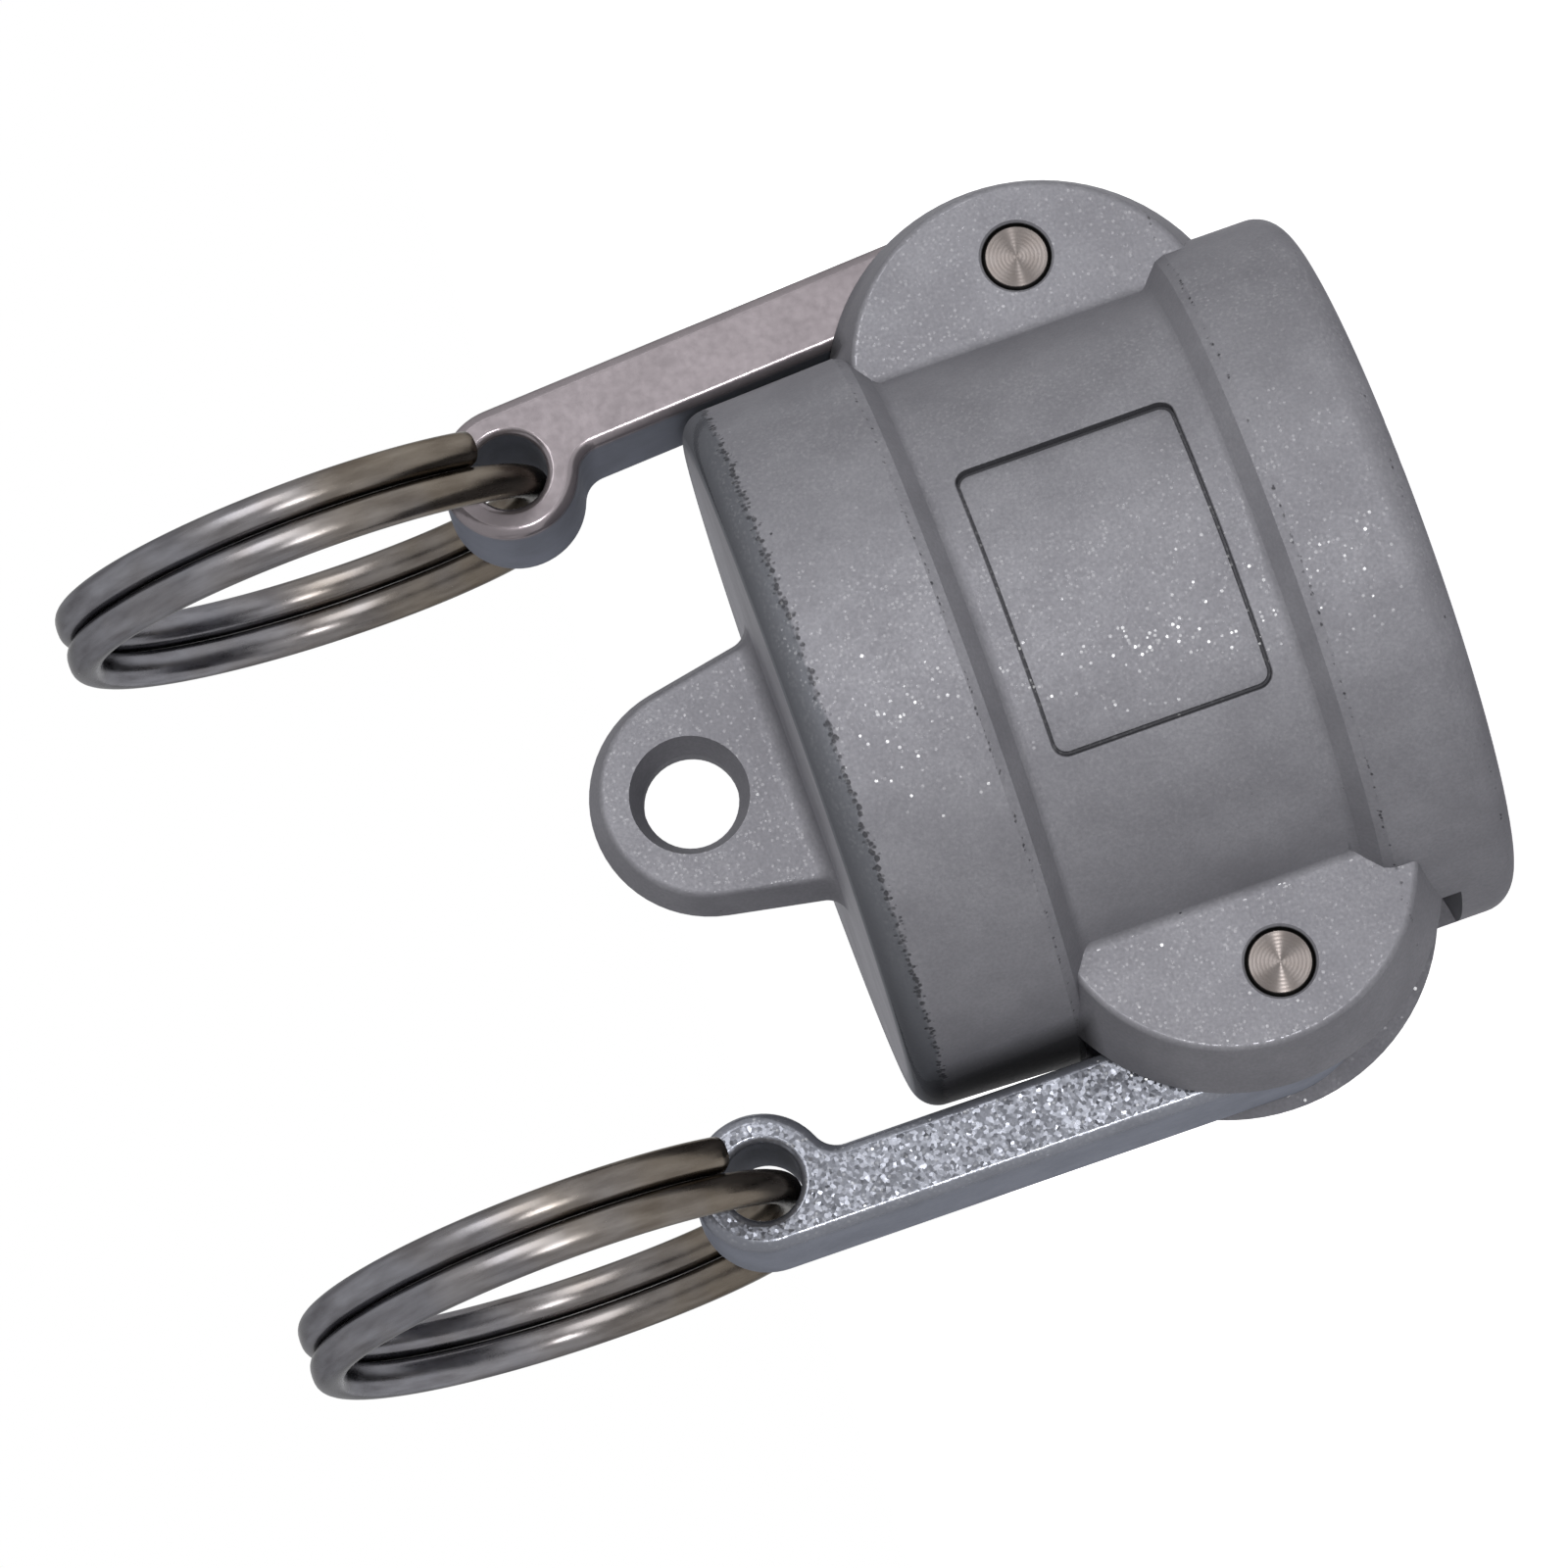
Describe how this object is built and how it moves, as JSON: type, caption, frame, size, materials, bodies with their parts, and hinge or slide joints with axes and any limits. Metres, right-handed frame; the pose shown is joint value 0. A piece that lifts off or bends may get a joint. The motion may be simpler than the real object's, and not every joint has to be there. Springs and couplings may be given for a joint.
{
  "type": "cam and groove dust cap",
  "caption": "Cast steel dust cap for a cam and groove adapter: a closed cylinder with drafted ears, pinned cam arms, wire pull rings and a tab for a chain.",
  "frame": {"origin": "centre of the mouth face, where the cap stands", "axes": "+Z along the bore from the mouth to the closed end, +X through one cam arm, pivot pins along Y, recessed panel facing -Y"},
  "size_m": [0.0568, 0.0438, 0.0757],
  "materials": {
    "cast_steel": "bead-blasted stainless casting",
    "arm_steel": "bead-blasted stainless casting with rubbed edges",
    "pin_steel": "turned stainless",
    "ring_wire": "bright drawn wire",
    "seal_rubber": "matte black nitrile rubber"
  },
  "bodies": {
    "cap": {"cap_body": "cast_steel", "gasket": "seal_rubber", "right_pivot_pin": "pin_steel", "left_pivot_pin": "pin_steel"},
    "right_arm": {"right_cam_arm": "arm_steel"},
    "left_arm": {"left_cam_arm": "arm_steel"},
    "right_ring": {"right_pull_ring": "ring_wire"},
    "left_ring": {"left_pull_ring": "ring_wire"}
  },
  "joints": [
    {"name": "right_arm_hinge", "type": "hinge", "parent": "cap", "child": "right_arm", "pos_m": [0.02232, 0, 0.01544], "axis": [0, 1, 0], "range_deg": [0, 105]},
    {"name": "left_arm_hinge", "type": "hinge", "parent": "cap", "child": "left_arm", "pos_m": [-0.02232, 0, 0.01544], "axis": [0, -1, 0], "range_deg": [0, 105]},
    {"name": "right_ring_hinge", "type": "hinge", "parent": "right_arm", "child": "right_ring", "pos_m": [0.02173, 0, 0.04746], "axis": [0, 1, 0], "range_deg": [-40, 150]},
    {"name": "left_ring_hinge", "type": "hinge", "parent": "left_arm", "child": "left_ring", "pos_m": [-0.02335, 0, 0.04745], "axis": [0, -1, 0], "range_deg": [-40, 150]}
  ]
}
